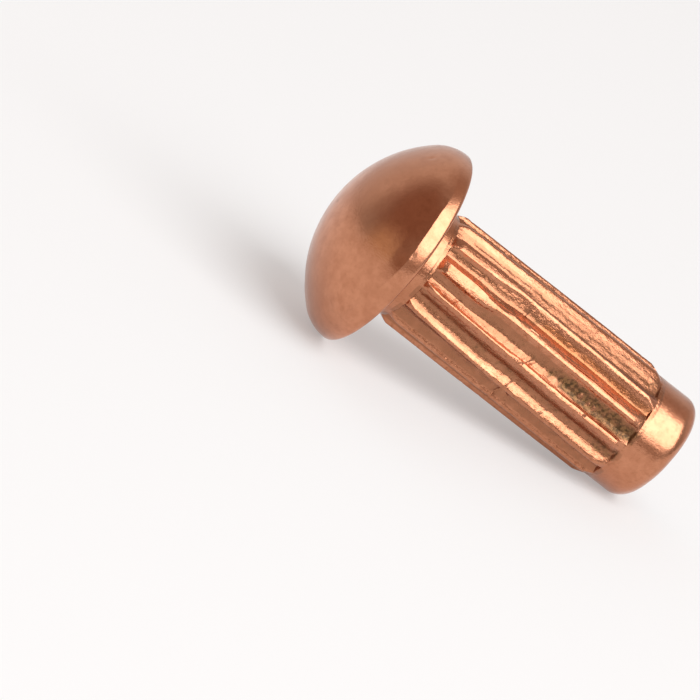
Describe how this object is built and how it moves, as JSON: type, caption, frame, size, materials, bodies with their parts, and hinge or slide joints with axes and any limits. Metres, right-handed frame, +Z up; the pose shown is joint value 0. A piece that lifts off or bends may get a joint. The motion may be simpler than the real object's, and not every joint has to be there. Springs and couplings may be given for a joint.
{
  "type": "knurled semi-tubular rivet",
  "caption": "Copper rivet with a domed head, a straight-knurled shank and a plain rounded pilot end with a blind hole, lying on its side.",
  "frame": {"origin": "on the surface that the rivet lies on, under the centre of its bounding box", "axes": "+Z up; the shank points along +X and dips by about 9 degrees; +Y across the shank"},
  "size_m": [0.0102, 0.0054, 0.0054],
  "materials": {
    "copper": "satin, tumbled copper with scratches and dirt in the knurl's valleys"
  },
  "bodies": {
    "root": {"rivet": "copper"}
  },
  "joints": []
}
